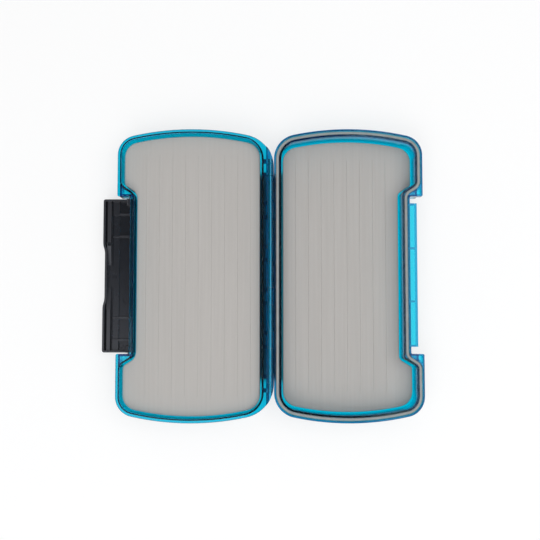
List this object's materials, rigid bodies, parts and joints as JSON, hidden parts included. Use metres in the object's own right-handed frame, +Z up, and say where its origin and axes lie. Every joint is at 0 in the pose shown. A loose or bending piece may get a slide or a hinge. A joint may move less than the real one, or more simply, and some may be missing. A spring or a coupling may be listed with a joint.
{
  "type": "fly box",
  "caption": "Waterproof fly box, open flat: hinged translucent base and lid with slit foam, a rim seal, and a long latch on the lid that hooks a catch bar.",
  "frame": {"origin": "middle of the base's flat underside", "axes": "+X across the open box from the lid to the base, +Y along the hinge, +Z up; the box lies open with both insides up"},
  "size_m": [0.2085, 0.19, 0.023],
  "materials": {
    "blue_shell": "translucent tinted blue, moulded and glossy",
    "grey_seal": "soft matt silicone",
    "grey_foam": "closed-cell foam, matt, slit lengthwise",
    "adhesive_tape": "thin double-sided tape",
    "steel_pin": "drawn stainless wire",
    "black_latch": "fine spark texture, near black"
  },
  "bodies": {
    "base": {"base_shell": "blue_shell", "rim_seal": "grey_seal", "base_foam": "grey_foam", "base_foam_tape": "adhesive_tape", "hinge_pin": "steel_pin"},
    "lid": {"lid_shell": "blue_shell", "lid_foam": "grey_foam", "lid_foam_tape": "adhesive_tape", "latch_pins": "steel_pin"},
    "latch": {"latch": "black_latch"}
  },
  "joints": [
    {"name": "lid_hinge", "type": "hinge", "parent": "base", "child": "lid", "pos_m": [-0.0508, 0, 0.02055], "axis": [0, 1, 0], "range_deg": [0, 180]},
    {"name": "latch_hinge", "type": "hinge", "parent": "lid", "child": "latch", "pos_m": [-0.1428, 0, 0.0115], "axis": [0, 1, 0], "range_deg": [0, 90]}
  ]
}
